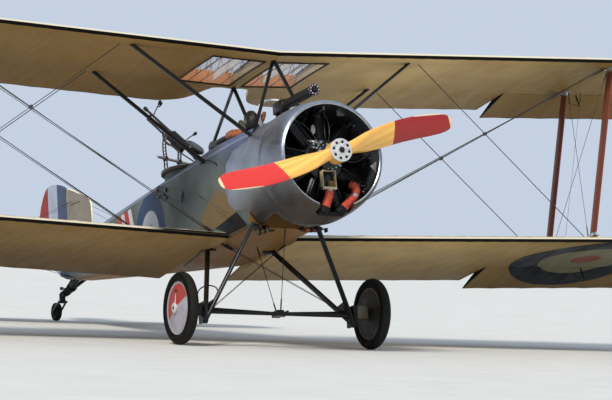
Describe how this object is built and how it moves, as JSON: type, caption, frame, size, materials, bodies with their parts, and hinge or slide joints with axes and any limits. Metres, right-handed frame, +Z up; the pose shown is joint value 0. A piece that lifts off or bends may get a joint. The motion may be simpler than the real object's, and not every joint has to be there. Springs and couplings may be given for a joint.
{
  "type": "biplane",
  "caption": "Two-seat tractor biplane with open cockpits, radial engine in a round cowl, wire-braced wings with clear centre panels, gun ring, wheeled gear and a swivelling tail wheel.",
  "frame": {"origin": "on the ground plane, under the middle of the bounding box", "axes": "nose toward -Y, +X to port, +Z up; the machine stands tail down on its wheels"},
  "size_m": [10.213, 7.5149, 2.9604],
  "materials": {
    "fuselage_cover": "doped olive-grey linen, satin",
    "aluminium_panel": "brushed and slightly dulled",
    "engine_black": "black enamel, semi gloss",
    "prop_wood": "varnished golden wood, red tips",
    "hub_steel": "bright",
    "cooler_frame": "cream, satin",
    "hose_rubber": "orange-red, satin",
    "wing_cover": "clear-doped linen, satin",
    "clear_sheet": "clear sheet",
    "strut_wood": "red-brown varnish",
    "steel_wire": "streamline wire, dulled",
    "black_tube": "black, semi gloss",
    "disc_cover": "painted red and white",
    "tyre": "matt black",
    "rudder_cover": "painted stripes",
    "frame_wood": "plain varnish",
    "gun_metal": "dark, semi gloss",
    "white_metal": "pale, satin",
    "leather": "dark padded",
    "ring_metal": "brown, satin"
  },
  "bodies": {
    "airframe": {"fuselage": "fuselage_cover", "nose_fairing": "aluminium_panel", "cowling": "aluminium_panel", "engine": "engine_black", "cooler": "cooler_frame", "hose_port": "hose_rubber", "hose_starboard": "hose_rubber", "upper_wing_port": "wing_cover", "lower_wing_port": "wing_cover", "clear_panel_port": "clear_sheet", "front_wing_strut_port": "strut_wood", "rear_wing_strut_port": "strut_wood", "front_wires_port": "steel_wire", "rear_wires_port": "steel_wire", "outer_front_strut_port": "black_tube", "outer_rear_strut_port": "black_tube", "gear_vee_port": "black_tube", "upper_wing_starboard": "wing_cover", "lower_wing_starboard": "wing_cover", "clear_panel_starboard": "clear_sheet", "front_wing_strut_starboard": "strut_wood", "rear_wing_strut_starboard": "strut_wood", "front_wires_starboard": "steel_wire", "rear_wires_starboard": "steel_wire", "outer_front_strut_starboard": "black_tube", "outer_rear_strut_starboard": "black_tube", "gear_vee_starboard": "black_tube", "centre_front_vee": "black_tube", "centre_rear_vee": "black_tube", "axle": "black_tube", "tail_bracket": "black_tube", "tailplane": "wing_cover", "fin": "wing_cover", "stern_post": "frame_wood", "pilot_seat": "frame_wood", "instrument_panel": "frame_wood", "gunner_seat": "frame_wood", "front_gun": "gun_metal", "windscreen": "white_metal", "coaming": "leather"},
    "propeller": {"propeller": "prop_wood", "hub_plate": "hub_steel"},
    "wheel_port": {"wheel_port": "disc_cover", "tyre_port": "tyre"},
    "wheel_starboard": {"wheel_starboard": "disc_cover", "tyre_starboard": "tyre"},
    "tail_fork": {"tail_fork": "black_tube"},
    "tail_wheel": {"tail_wheel": "tyre"},
    "upper_aileron_port": {"upper_aileron_port": "wing_cover"},
    "lower_aileron_port": {"lower_aileron_port": "wing_cover"},
    "upper_aileron_starboard": {"upper_aileron_starboard": "wing_cover"},
    "lower_aileron_starboard": {"lower_aileron_starboard": "wing_cover"},
    "elevator_port": {"elevator_port": "wing_cover"},
    "elevator_starboard": {"elevator_starboard": "wing_cover"},
    "rudder": {"rudder": "rudder_cover"},
    "gun_ring": {"gun_ring": "ring_metal"},
    "rear_gun": {"rear_gun": "gun_metal"}
  },
  "joints": [
    {"name": "propeller_spin", "type": "hinge", "parent": "airframe", "child": "propeller", "pos_m": [0, -3.62631, 1.79885], "axis": [0, -0.9728, 0.2317], "continuous": true},
    {"name": "wheel_port_spin", "type": "hinge", "parent": "airframe", "child": "wheel_port", "pos_m": [0.973, -2.50437, 0.33345], "axis": [1, 0, 0], "continuous": true},
    {"name": "wheel_starboard_spin", "type": "hinge", "parent": "airframe", "child": "wheel_starboard", "pos_m": [-0.973, -2.50437, 0.33345], "axis": [1, 0, 0], "continuous": true},
    {"name": "tail_fork_swivel", "type": "hinge", "parent": "airframe", "child": "tail_fork", "pos_m": [0, 2.98375, 0.26317], "axis": [0, 0.2317, 0.9728], "range_deg": [-35, 35]},
    {"name": "tail_wheel_spin", "type": "hinge", "parent": "tail_fork", "child": "tail_wheel", "pos_m": [0, 3.13995, 0.099], "axis": [1, 0, 0], "continuous": true},
    {"name": "upper_aileron_port_hinge", "type": "hinge", "parent": "airframe", "child": "upper_aileron_port", "pos_m": [4, -1.17752, 2.61916], "axis": [0.999, 0.0105, 0.0441], "range_deg": [-10, 30]},
    {"name": "upper_aileron_starboard_hinge", "type": "hinge", "parent": "airframe", "child": "upper_aileron_starboard", "pos_m": [-4, -1.17752, 2.61916], "axis": [0.999, -0.0105, -0.0441], "range_deg": [-10, 30]},
    {"name": "lower_aileron_port_hinge", "type": "hinge", "parent": "airframe", "child": "lower_aileron_port", "pos_m": [4, -0.97385, 0.86428], "axis": [0.9994, 0.0081, 0.0339], "range_deg": [-10, 30]},
    {"name": "lower_aileron_starboard_hinge", "type": "hinge", "parent": "airframe", "child": "lower_aileron_starboard", "pos_m": [-4, -0.97385, 0.86428], "axis": [0.9994, -0.0081, -0.0339], "range_deg": [-10, 30]},
    {"name": "elevator_port_hinge", "type": "hinge", "parent": "airframe", "child": "elevator_port", "pos_m": [0.9, 2.67113, 0.76324], "axis": [1, 0, 0], "range_deg": [-25, 25]},
    {"name": "elevator_starboard_hinge", "type": "hinge", "parent": "airframe", "child": "elevator_starboard", "pos_m": [-0.9, 2.67113, 0.76324], "axis": [1, 0, 0], "range_deg": [-25, 25]},
    {"name": "rudder_hinge", "type": "hinge", "parent": "airframe", "child": "rudder", "pos_m": [0, 2.88424, 0.96741], "axis": [0, 0.2317, 0.9728], "range_deg": [-25, 25]},
    {"name": "gun_ring_turn", "type": "hinge", "parent": "airframe", "child": "gun_ring", "pos_m": [0, -0.50961, 1.60837], "axis": [0, 0.2317, 0.9728], "continuous": true},
    {"name": "rear_gun_elevation", "type": "hinge", "parent": "gun_ring", "child": "rear_gun", "pos_m": [-0.1408, -0.14323, 2.00322], "axis": [0.8829, 0.4567, -0.1088], "range_deg": [-44.5, 17.5]}
  ],
  "couplings": [
    {"joint": "upper_aileron_port_hinge", "follows": "lower_aileron_port_hinge", "ratio": 1},
    {"joint": "upper_aileron_starboard_hinge", "follows": "lower_aileron_starboard_hinge", "ratio": 1},
    {"joint": "elevator_starboard_hinge", "follows": "elevator_port_hinge", "ratio": 1}
  ]
}
